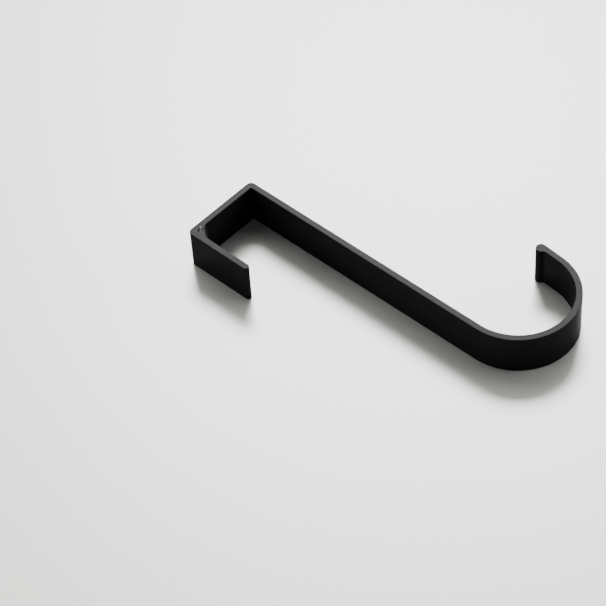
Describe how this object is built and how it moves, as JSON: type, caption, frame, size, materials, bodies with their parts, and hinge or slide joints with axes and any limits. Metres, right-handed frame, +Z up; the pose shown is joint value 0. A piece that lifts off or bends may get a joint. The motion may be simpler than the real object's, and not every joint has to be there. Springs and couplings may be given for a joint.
{
  "type": "over door hook",
  "caption": "Flat aluminium strip hook with a square bracket that drops over a door's top edge, a long arm and a wide J with a beaded tip, in matt black coating.",
  "frame": {"origin": "under the middle of the hook's box, on the surface that it lies on", "axes": "+X along the arm from the door bracket to the J, +Y from the door side to the hook side, +Z up across the strip's width"},
  "size_m": [0.162, 0.0948, 0.02],
  "materials": {
    "black_coating": "matt black coating over aluminium"
  },
  "bodies": {
    "root": {"door_hook": "black_coating"}
  },
  "joints": []
}
